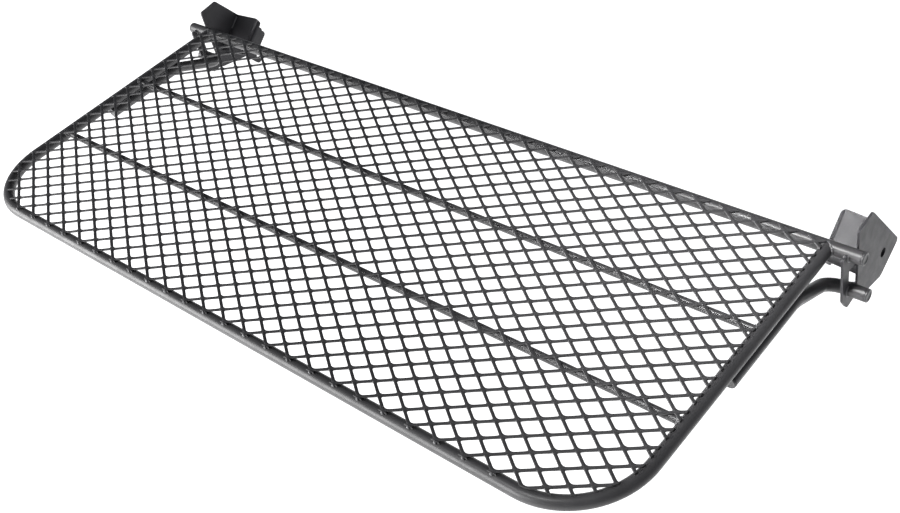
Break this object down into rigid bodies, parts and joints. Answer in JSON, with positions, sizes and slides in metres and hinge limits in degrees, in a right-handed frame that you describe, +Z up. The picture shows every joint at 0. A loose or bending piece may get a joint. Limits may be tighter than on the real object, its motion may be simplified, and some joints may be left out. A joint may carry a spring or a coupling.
{
  "type": "hitch cargo carrier",
  "caption": "Flat cargo carrier: bent tube frame, raised expanded-metal deck and two welded side brackets that hang it on a vehicle's rear rails.",
  "frame": {"origin": "the middle of the deck's top face, midway between the axes of the side tubes and of the front and rear tubes", "axes": "+X along the deck's length, +Y towards the brackets and the vehicle, +Z up"},
  "size_m": [1.606, 0.7764, 0.1645],
  "materials": {
    "frame_coat": "satin charcoal powder coat",
    "mesh_coat": "satin charcoal powder coat",
    "bracket_coat": "satin charcoal powder coat",
    "weld_coat": "powder coat over weld beads",
    "end_cap_plastic": "matte"
  },
  "bodies": {
    "root": {"perimeter_tube": "frame_coat", "rear_tube": "frame_coat", "front_cross_bar": "frame_coat", "rear_cross_bar": "frame_coat", "mesh_deck": "mesh_coat", "right_brace_tube": "frame_coat", "left_brace_tube": "frame_coat", "right_arm_plate": "bracket_coat", "left_arm_plate": "bracket_coat", "right_outer_cheek": "bracket_coat", "left_outer_cheek": "bracket_coat", "right_saddle_plate": "bracket_coat", "left_saddle_plate": "bracket_coat", "right_pin_boss": "bracket_coat", "left_pin_boss": "bracket_coat", "right_rear_tube_cap": "end_cap_plastic", "left_rear_tube_cap": "end_cap_plastic", "right_brace_cap": "end_cap_plastic", "left_brace_cap": "end_cap_plastic", "right_brace_tip_plug": "end_cap_plastic", "left_brace_tip_plug": "end_cap_plastic", "right_bracket_welds": "weld_coat", "left_bracket_welds": "weld_coat", "front_tack_welds": "weld_coat"}
  },
  "joints": []
}
